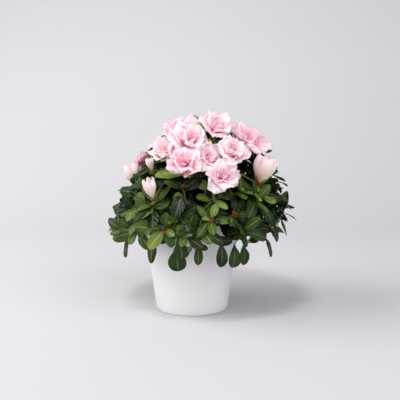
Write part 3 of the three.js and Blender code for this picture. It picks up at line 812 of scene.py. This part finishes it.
def open_blooms(foliage, blossom, rng):
    """Opens the blooms. Gives the foot of each, its direction and the place of the leaves under it."""
    feet = []
    for azimuth, elevation, size, openness, out, tint in BLOOMS:
        direction = heading(azimuth, elevation)
        width = BLOOM_WIDTH * size
        base = direction * (reach_along(direction) + out - BLOOM_DEPTH * width) + FORK
        to_light = max(0, -direction[1]) * 0.4
        axis = unit(direction + UP * 0.12 + FRONT * to_light)
        feet.append((base, direction, base - direction * 5 * MM))
        foliage.keep_out.append((base + axis * BLOOM_HEART * width, BLOOM_ROOM * width))
        blossom.bloom(base, axis, size, openness, tint, rng)
    return feet


def open_buds(foliage, blossom, rng):
    """Sets the buds upright in their husks. Gives the same as open_blooms."""
    feet = []
    for azimuth, elevation, size, swollen in BUDS:
        direction = heading(azimuth, elevation)
        axis = unit(direction * 0.5 + UP)
        base = direction * (reach_along(direction) - BUD_INSET * size) - axis * BUD_DROP * size + FORK
        feet.append((base, direction, base - axis * 10 * MM * size))
        foliage.keep_out.append((base + axis * BUD_HEART * size, BUD_ROOM * size))
        foliage.keep_out.append((base + direction * 5 * MM * size, 12 * MM * size))
        blossom.bud(base, axis, size, swollen, rng)
        foliage.husk(base - axis * 2.5 * MM * size, axis, 8 * MM * size, rng)
    return feet


def grow_front(foliage, rng):
    """The rosettes that give the front its look, and the leaves that hang over the rim."""
    for azimuth, elevation, depth, leaves, tint, size, scales in FRONT_ROSETTES:
        direction = heading(azimuth, elevation)
        tip = in_crown(direction, depth)
        if fine_twig(foliage, tip, direction, 0.6):
            upward = unit(direction + UP * 0.3 + rng.normal(0, 0.08, 3))
            foliage.rosette(tip, upward, leaves, rng, size, tint=tint, scales=scales)
    for azimuth, elevation, length, width_share, tint in HANGING_LEAVES:
        direction = heading(azimuth, elevation)
        tip = in_crown(direction, HANGING_DEPTH)
        if fine_twig(foliage, tip, direction, 0.7):
            along = unit(direction * 0.35 - UP + rng.normal(0, 0.1, 3))
            face = unit(direction + UP * 0.4)
            foliage.leaf(tip, along, face, length, tint, rng, width_share, hangs=True)


def grow_main_twigs(foliage, rng):
    """The shoots of the part's source, and those main twigs that have room, each with a rosette."""
    for mass in MASSES:
        foliage.twig(mass.shoot, SHOOT_RADIUS, SHOOT_TIP_RADIUS, WOODY, 8)
        for direction, depth, join in twig_plan(mass) if mass.spread else ():
            tip = direction * depth * reach_along(direction) + FORK
            root, leave = along_path(mass.shoot, join)
            path = bend(root, unit(leave + direction), tip, 0.4)
            low = direction[2] < LOWEST_ROSETTE
            if low or inside_pot(path[3:], TWIG_CLEARANCE) or foliage.crowded(tip):
                continue
            foliage.twig(path, TWIG_RADIUS, TWIG_TIP_RADIUS, WOODY)
            foliage.rosette(tip, rosette_heading(direction, rng), 7, rng)
            mass.limbs.append(path)


def grow_stalks(foliage, feet, rng):
    """A stalk from the nearest shoot to each bloom and bud, with a nest of leaves under it."""
    for base, direction, nest in feet:
        mass = nearest_mass(direction)
        root, leave = along_path(mass.shoot, 0.86)
        path = bend(root, unit(leave + direction), base, 0.4)
        foliage.twig(path, TWIG_RADIUS * 1.15, TWIG_RADIUS, GREEN)
        mass.limbs.append(path)
        foliage.rosette(nest, rosette_heading(direction, rng), 5, rng, 0.95, steepest=NEST_TILT)


def grow_layer(foliage, layer, rng):
    """Finer twigs and rosettes spread over the crown wherever there is room for one."""
    count, near, far, leaves, lowest, tint = layer
    for direction in lattice(count, lowest):
        direction = unit(direction + rng.normal(0, 0.05, 3))
        tip = in_crown(direction, rng.uniform(near, far))
        if foliage.by_flower(tip) or foliage.crowded(tip):
            continue
        if fine_twig(foliage, tip, direction, rng.uniform(0.35, 0.75)):
            upward = rosette_heading(direction, rng)
            foliage.rosette(tip, upward, leaves + int(rng.integers(-1, 2)), rng, tint=tint)


def grow(foliage, blossom):
    rng = np.random.default_rng(FLOWER_SEED)
    feet = open_blooms(foliage, blossom, rng) + open_buds(foliage, blossom, rng)
    rng = np.random.default_rng(LEAF_SEED)
    grow_front(foliage, rng)
    grow_main_twigs(foliage, rng)
    grow_stalks(foliage, feet, rng)
    for layer in LAYERS:
        grow_layer(foliage, layer, rng)


# Pot and peat

PEAT_WAVES = 10
PEAT_HEAP = 3 * MM
CRUMBS = 420


def lathe(profile, sides):
    turn = np.linspace(0, TURN, sides, endpoint=False)
    profile = np.array(profile)
    grid = np.empty((len(profile), sides, 3))
    grid[..., 0] = np.outer(profile[:, 0], np.cos(turn))
    grid[..., 1] = np.outer(profile[:, 0], np.sin(turn))
    grid[..., 2] = profile[:, 1][:, None]
    return grid


def arc(centre, radius, start, end, count=7):
    angles = np.radians(np.linspace(start, end, count))
    return [(centre[0] + radius * math.cos(a), centre[1] + radius * math.sin(a)) for a in angles]


def make_pot(glaze):
    """A tapered pot with a rounded foot, a rounded lip and a hollow inside."""
    foot = 2.2 * MM
    lip = POT_WALL / 2
    corner = 3 * MM
    outside = np.linspace(4 * MM, POT_HEIGHT - 3 * MM, 24)
    inside = np.linspace(POT_HEIGHT - 4 * MM, POT_FLOOR + 5 * MM, 12)
    profile = [(0, 0), (POT_FOOT_RADIUS * 0.5, 0)]
    profile += arc((POT_FOOT_RADIUS - foot, foot), foot, -90, 0)
    profile += [(pot_radius_at(z), z) for z in outside]
    profile += arc((POT_RIM_RADIUS - lip - 0.1 * MM, POT_HEIGHT - lip), lip, 0, 180, 11)
    profile += [(pot_radius_at(z) - POT_WALL, z) for z in inside]
    profile += arc((POT_FOOT_RADIUS - POT_WALL - corner, POT_FLOOR + corner), corner, 0, -90, 5)
    profile += [(0, POT_FLOOR)]
    shell = Shell()
    shell.add(lathe(profile, 128)[:, ::-1], ring=True)
    piece = shell.piece("pot_glazed", [glaze], merge=True)
    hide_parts("pot")


def peat_body(radius, rng):
    """The root ball, with a bumpy top that is heaped round the stem."""
    low = POT_FLOOR + 0.4 * MM
    inset = pot_radius_at(low) - POT_WALL - 5 * MM
    profile = [(0, low), (inset, low), (inset + 4 * MM, low + 4 * MM), (radius - 1 * MM, SOIL_TOP - 6 * MM)]
    profile += [(radius * share, SOIL_TOP - PEAT_HEAP * share**2) for share in np.linspace(1, 0, 22)]
    grid = lathe(profile, 72)
    top = grid[4:-1]
    swing = rng.uniform(0, TURN, (PEAT_WAVES, 2))
    waves = rng.normal(0, 1, (PEAT_WAVES, 2)) * np.linspace(60, 420, PEAT_WAVES)[:, None]
    heights = np.linspace(0.54, 0.15, PEAT_WAVES) * MM
    for (wx, wy), (px, py), height in zip(waves, swing, heights):
        top[..., 2] += height * np.sin(top[..., 0] * wx + px) * np.sin(top[..., 1] * wy + py)
    return grid[:, ::-1]


def crumb(radius, rng):
    """A lump on the top of the peat."""
    away = radius * math.sqrt(rng.uniform()) * 0.97
    turn = rng.uniform(0, TURN)
    size = rng.uniform(0.7, 2.1) * MM
    height = SOIL_TOP - PEAT_HEAP * (away / radius) ** 2
    shape = rng.uniform(0.6, 1.25, (6, 7))
    shape[0] = shape[-1] = 1
    down = np.linspace(0, math.pi, 6)
    lump = lathe(np.stack([np.sin(down), np.cos(down) * 0.8], axis=-1), 7)
    lump[..., :2] *= shape[..., None]
    return np.array([away * math.cos(turn), away * math.sin(turn), height]) + lump * size


def make_soil(peat):
    """Moist peat that fills the pot, with crumbs on it."""
    rng = np.random.default_rng(PEAT_SEED)
    radius = pot_radius_at(SOIL_TOP) - POT_WALL - 0.7 * MM
    shell = Shell()
    shell.add(peat_body(radius, rng), ring=True)
    for _ in range(CRUMBS):
        shell.add(crumb(radius, rng), ring=True)
    piece = shell.piece("peat", [peat], merge=True)
    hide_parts("soil")


# Materials

class Look:
    """A node material under construction."""

    def __init__(self, name):
        self.material = bpy.data.materials.new(name)
        self.material.use_nodes = True
        self.nodes = self.material.node_tree.nodes
        self.links = self.material.node_tree.links
        self.shader = self.nodes["Principled BSDF"]
        self.coordinates = self.nodes.new("ShaderNodeTexCoord")

    def node(self, kind, **inputs):
        """A new node, with links or values for some of its inputs."""
        node = self.nodes.new(kind)
        for name, value in inputs.items():
            self.feed(node.inputs[name], value)
        return node

    def noise(self, scale, detail, roughness=0.55, stretch=None):
        place = self.coordinates.outputs["Object"]
        if stretch:
            place = self.node("ShaderNodeMapping", Vector=place, Scale=stretch).outputs["Vector"]
        texture = self.node("ShaderNodeTexNoise", Vector=place, Scale=scale, Detail=detail,
                            Roughness=roughness)
        return texture.outputs["Fac"]

    def ramp(self, factor, stops):
        node = self.node("ShaderNodeValToRGB", Fac=factor)
        elements = node.color_ramp.elements
        while len(elements) < len(stops):
            elements.new(0.5)
        for element, (place, colour) in zip(elements, stops):
            element.position = place
            element.color = (*colour, 1)
        return node.outputs["Color"]

    def blend(self, factor, a, b, mode="MIX"):
        node = self.nodes.new("ShaderNodeMix")
        node.data_type = "RGBA"
        node.blend_type = mode
        self.feed(node.inputs["Factor"], factor)
        self.feed(node.inputs["A"], a)
        self.feed(node.inputs["B"], b)
        return node.outputs["Result"]

    def feed(self, socket, value):
        if isinstance(value, bpy.types.NodeSocket):
            self.links.new(value, socket)
        elif isinstance(value, tuple):
            socket.default_value = (*value, 1)[:len(socket.default_value)]
        else:
            socket.default_value = value

    def math(self, operation, *values):
        node = self.nodes.new("ShaderNodeMath")
        node.operation = operation
        for socket, value in zip(node.inputs, values):
            self.feed(socket, value)
        return node.outputs[0]

    def plus(self, a, b):
        return self.math("ADD", a, b)

    def minus(self, a, b):
        return self.math("SUBTRACT", a, b)

    def times(self, a, b):
        return self.math("MULTIPLY", a, b)

    def split(self, output):
        """The X and Y of one of the texture coordinates."""
        node = self.node("ShaderNodeSeparateXYZ", Vector=self.coordinates.outputs[output])
        return node.outputs["X"], node.outputs["Y"]

    def bump(self, height, strength, distance):
        node = self.node("ShaderNodeBump", Height=height, Strength=strength, Distance=distance)
        self.links.new(node.outputs["Normal"], self.shader.inputs["Normal"])
        return node.outputs["Normal"]

    def colour(self, value):
        self.feed(self.shader.inputs["Base Color"], value)

    def roughness(self, lowest, swing, scale, detail):
        """Roughness that wanders up from its lowest value."""
        wandering = self.plus(self.times(self.noise(scale, detail), swing), lowest)
        self.links.new(wandering, self.shader.inputs["Roughness"])

    def translucent(self, share, colour, normal):
        glow = self.node("ShaderNodeBsdfTranslucent", Color=colour, Normal=normal)
        both = self.node("ShaderNodeMixShader", Fac=share)
        self.links.new(self.shader.outputs["BSDF"], both.inputs[1])
        self.links.new(glow.outputs["BSDF"], both.inputs[2])
        self.links.new(both.outputs["Shader"], self.nodes["Material Output"].inputs["Surface"])


LEAF_GLOW = 0.12
PETAL_GLOW = 0.42


def leaf_material(name, deep, light, through, gloss):
    """A leathery blade: mottled green, with side veins that slant forward and a soft gloss."""
    look = Look(name)
    patches = look.ramp(look.noise(38, 4), [(0.36, deep), (0.66, light)])
    mottle = look.ramp(look.noise(620, 2), [(0.3, (0.78, 0.80, 0.78)), (0.75, (1.18, 1.15, 1.1))])
    colour = look.blend(0.8, patches, mottle, "MULTIPLY")
    x, y = look.split("UV")
    from_rib = look.math("ABSOLUTE", look.minus(x, 0.5))
    slant = look.minus(look.times(y, 23.0), look.times(from_rib, 15.0))
    slant = look.plus(slant, look.times(look.noise(110, 2), 3.0))
    vein = look.math("POWER", look.math("ABSOLUTE", look.math("SINE", slant)), 0.45)
    look.colour(look.blend(look.times(look.minus(1.0, vein), 0.22), colour, through))
    height = look.plus(look.times(vein, 0.55), look.noise(360, 3))
    normal = look.bump(height, 0.6, 1.1 * MM)
    look.roughness(gloss - 0.1, 0.2, 240, 2)
    look.shader.inputs["Specular IOR Level"].default_value = 0.2
    look.translucent(LEAF_GLOW, through, normal)
    return look.material


def rib_material(name, tone):
    """A leaf's pale midrib."""
    look = Look(name)
    look.colour(look.ramp(look.noise(300, 2), [(0.3, tuple(c * 0.75 for c in tone)), (0.7, tone)]))
    look.shader.inputs["Roughness"].default_value = 0.42
    look.bump(look.noise(1400, 2), 0.3, 0.3 * MM)
    return look.material


def petal_material(name, throat, body, edge):
    """A thin petal: deeper at the throat and paler at the frill, with fine fanning veins."""
    look = Look(name)
    x, y = look.split("UV")
    wander = look.plus(y, look.times(look.minus(look.noise(90, 3), 0.5), 0.5))
    colour = look.ramp(wander, [(0.14, throat), (0.44, body), (0.80, edge)])
    veins = look.math("SINE", look.times(x, 75.0))
    vein_bed = look.plus(look.times(veins, 0.5), look.noise(900, 3))
    shade = look.ramp(vein_bed, [(0.2, (0.98, 0.93, 0.95)), (1.0, (1.0, 1.0, 1.0))])
    tinted = look.blend(0.55, colour, shade, "MULTIPLY")
    look.colour(tinted)
    look.roughness(0.42, 0.2, 200, 2)
    normal = look.bump(vein_bed, 0.16, 0.3 * MM)
    look.shader.inputs["Sheen Weight"].default_value = 0.25
    look.shader.inputs["Sheen Roughness"].default_value = 0.4
    look.translucent(PETAL_GLOW, tinted, normal)
    return look.material


def plain_material(name, stretch=None):
    """Fine noise in colour, roughness and relief: bark, twigs, scales and peat."""
    stops, scale, roughness, bump_scale, bump_depth = PLAIN[name]
    look = Look(name)
    look.colour(look.ramp(look.noise(scale, 5, 0.6, stretch), stops))
    look.roughness(roughness - 0.1, 0.2, scale * 3, 2)
    look.bump(look.noise(bump_scale, 4, 0.65, stretch), 0.7, bump_depth)
    return look.material


def glaze_material():
    """A satin white glaze: faint cloudiness, a few pinholes and a softly uneven gloss."""
    look = Look("white_glaze")
    clouds = look.ramp(look.noise(26, 3), [(0.3, (0.690, 0.676, 0.684)), (0.7, (0.725, 0.712, 0.718))])
    specks = look.ramp(look.noise(2600, 2), [(0.76, (1, 1, 1)), (0.84, (0.86, 0.84, 0.82))])
    look.colour(look.blend(0.6, clouds, specks, "MULTIPLY"))
    look.roughness(0.34, 0.14, 70, 3)
    relief = look.plus(look.noise(34, 2), look.times(look.noise(900, 2), 0.06))
    look.bump(relief, 0.12, 0.8 * MM)
    look.shader.inputs["Coat Weight"].default_value = 0.15
    look.shader.inputs["Coat Roughness"].default_value = 0.25
    return look.material


# Tints of leaves, as linear colours: deep, light, with light coming through, rib. The last row is painted
# shade, near-black for the leaves inside the crown
LEAF_TONES = [
    ((0.0018, 0.006, 0.0008), (0.008, 0.018, 0.0022), (0.026, 0.054, 0.007), (0.018, 0.038, 0.007)),
    ((0.006, 0.016, 0.0015), (0.021, 0.045, 0.0055), (0.050, 0.098, 0.012), (0.042, 0.080, 0.014)),
    ((0.028, 0.060, 0.006), (0.068, 0.116, 0.018), (0.110, 0.190, 0.026), (0.110, 0.170, 0.034)),
    ((0.085, 0.140, 0.020), (0.165, 0.235, 0.044), (0.240, 0.330, 0.060), (0.230, 0.300, 0.080)),
    # Painted shade: near-black leaf tints that stand in for the shade inside the crown
    ((0.0012, 0.003, 0.0005), (0.004, 0.009, 0.0012), (0.010, 0.020, 0.0025), (0.007, 0.014, 0.003)),
]

# Tints of petals: throat, body, edge
PETAL_TONES = [
    ((0.96, 0.47, 0.52), (0.99, 0.77, 0.83), (1.00, 0.89, 0.91)),
    ((0.95, 0.36, 0.46), (0.99, 0.67, 0.77), (0.99, 0.82, 0.87)),
    ((0.93, 0.25, 0.40), (0.98, 0.56, 0.70), (0.98, 0.74, 0.82)),
    ((0.93, 0.91, 0.62), (1.00, 0.92, 0.84), (1.00, 0.90, 0.88)),
]

# Plain materials: stops of colour, scale, roughness, scale and depth of the relief
PLAIN = {
    "woody_twig": ([(0.3, (0.060, 0.036, 0.018)), (0.7, (0.150, 0.100, 0.050))], 260, 0.75, 900, 0.4 * MM),
    "green_twig": ([(0.3, (0.120, 0.170, 0.030)), (0.7, (0.260, 0.300, 0.070))], 240, 0.5, 1100, 0.3 * MM),
    "rust_scale": ([(0.3, (0.200, 0.040, 0.012)), (0.7, (0.480, 0.130, 0.030))], 500, 0.55, 1800, 0.3 * MM),
    "lime_scale": ([(0.3, (0.180, 0.240, 0.030)), (0.7, (0.420, 0.440, 0.110))], 400, 0.5, 1800, 0.3 * MM),
    "living_bark": (
        [(0.25, (0.045, 0.028, 0.016)), (0.5, (0.130, 0.085, 0.050)), (0.8, (0.230, 0.170, 0.115))],
        160, 0.85, 420, 1.2 * MM),
    "peat": ([(0.3, (0.006, 0.004, 0.003)), (0.7, (0.035, 0.022, 0.014))], 320, 0.95, 700, 1.5 * MM),
}


def leaf_materials():
    """Blade and rib by turns, so that a tint's slots are twice its number and the next."""
    materials = []
    for k, (deep, light, through, rib) in enumerate(LEAF_TONES):
        materials.append(leaf_material(f"leaf_{k}", deep, light, through, 0.16 + 0.03 * k))
        materials.append(rib_material(f"rib_{k}", rib))
    return materials


def masses_named(*starts):
    return [mass.name for mass in MASSES if mass.name.startswith(starts)]


def make_plant():
    foliage = Foliage()
    blossom = Blossom()
    grow(foliage, blossom)
    greens = leaf_materials()
    low = foliage.low.piece("leaves_lower", greens)
    high = foliage.high.piece("leaves_upper", greens)
    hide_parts(*masses_named("leaves_low"))
    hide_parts(*masses_named("leaves_mid", "leaves_top"))
    woody = plain_material("woody_twig")
    green = plain_material("green_twig")
    twigs = foliage.twigs.piece("twigs", [woody, green], merge=True)
    rust = plain_material("rust_scale")
    lime = plain_material("lime_scale")
    scales = foliage.scales.piece("bud_scales", [lime, rust])
    pinks = [petal_material(f"petal_{k}", *tones) for k, tones in enumerate(PETAL_TONES)]
    petals = blossom.petals.piece("petals", pinks)
    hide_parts(*masses_named("flowers"))
    sepals = blossom.sepals.piece("sepals", [lime, rust])
    make_limbs(plain_material("living_bark", (1, 1, 0.35)))
    make_soil(plain_material("peat"))
    make_pot(glaze_material())


# Studio

# The paper runs from the floor's tone to the paler wall's tone: painted light that stands in for a backdrop
# lit more than the floor
FLOOR_TONE = (0.49, 0.485, 0.50)
WALL_TONE = (0.73, 0.725, 0.74)
TONE_START = 0.4
TONE_DEPTH = 2.4
FLOOR_HALF = 9.0
SWEEP_START = 0.7
SWEEP_RADIUS = 1.7
WALL_HEIGHT = 3.0

# Round lights: name, place, the point they face, size, power, tint
LIGHTS = [
    ("key", (-1.8, -0.35, 1.25), (0, 0, 0.12), 2.0, 50, (1.0, 0.995, 0.985)),
    ("fill", (1.1, -1.7, 1.15), (0, 0, 0.15), 3.2, 47, (0.99, 0.98, 1.0)),
    ("top", (-0.35, -0.95, 1.85), (0, 0, 0.1), 0.45, 18, (1.0, 1.0, 1.0)),
]


def painted_light_paper_material():
    """Matt paper painted paler towards the wall: painted light that stands in for a backdrop lit more
    brightly than the floor.
    """
    look = Look("pale_paper")
    grain = look.ramp(look.noise(900, 2), [(0.3, (0.97, 0.97, 0.97)), (0.7, (1.0, 1.0, 1.0))])
    depth = look.math("DIVIDE", look.plus(look.split("Object")[1], TONE_START), TONE_DEPTH)
    # Painted light: the paper grows paler with depth towards the wall
    paper = look.ramp(depth, [(0.0, FLOOR_TONE), (1.0, WALL_TONE)])
    look.colour(look.blend(1.0, paper, grain, "MULTIPLY"))
    look.shader.inputs["Roughness"].default_value = 0.9
    look.shader.inputs["Specular IOR Level"].default_value = 0.1
    return look.material


def make_floor():
    """A seamless pale sweep: a floor that curves up into a wall behind the plant."""
    line = [(-FLOOR_HALF, 0.0)]
    for a in np.linspace(0, math.pi / 2, 48):
        line.append((SWEEP_START + SWEEP_RADIUS * math.sin(a), SWEEP_RADIUS * (1 - math.cos(a))))
    line.append((SWEEP_START + SWEEP_RADIUS, WALL_HEIGHT))
    points = [(x, y, z) for y, z in line for x in (-FLOOR_HALF, FLOOR_HALF)]
    faces = [(2 * k, 2 * k + 1, 2 * k + 3, 2 * k + 2) for k in range(len(line) - 1)]
    mesh = bpy.data.meshes.new("studio_floor")
    mesh.from_pydata(points, [], faces, shade_flat=False)
    mesh.materials.append(painted_light_paper_material())
    floor = add_object("studio_floor", mesh)


def area_light(name, place, target, size, power, tint):
    lamp = bpy.data.lights.new(name, "AREA")
    lamp.shape = "DISK"
    lamp.size = size
    lamp.energy = power
    lamp.color = tint
    light = add_object(name, lamp)
    light.location = place
    away = np.array(place) - np.array(target)
    level = math.hypot(away[0], away[1])
    light.rotation_euler = (math.atan2(level, away[2]), 0, math.atan2(away[0], -away[1]))


def make_studio():
    make_floor()
    for light in LIGHTS:
        area_light(*light)
    world = bpy.data.worlds.new("studio")
    world.use_nodes = True
    world.node_tree.nodes["Background"].inputs["Color"].default_value = (0.96, 0.96, 1.0, 1)
    world.node_tree.nodes["Background"].inputs["Strength"].default_value = 0.38
    bpy.context.scene.world = world
    bpy.context.scene.view_settings.view_transform = "Standard"


# The photograph's view, fitted to the pot's outline and the ellipse of its foot
CAMERA_PLACE = (11.7 * MM, -874 * MM, 251 * MM)
CAMERA_PITCH = 6.04
CAMERA_LENS = 54.2
CAMERA_SENSOR = 36.0


def make_camera():
    data = bpy.data.cameras.new("camera")
    data.lens = CAMERA_LENS
    data.sensor_width = CAMERA_SENSOR
    data.sensor_fit = "HORIZONTAL"
    camera = add_object("camera", data)
    camera.location = CAMERA_PLACE
    camera.rotation_euler = (math.radians(90 - CAMERA_PITCH), 0, 0)
    bpy.context.scene.camera = camera


make_camera()
make_plant()
make_studio()
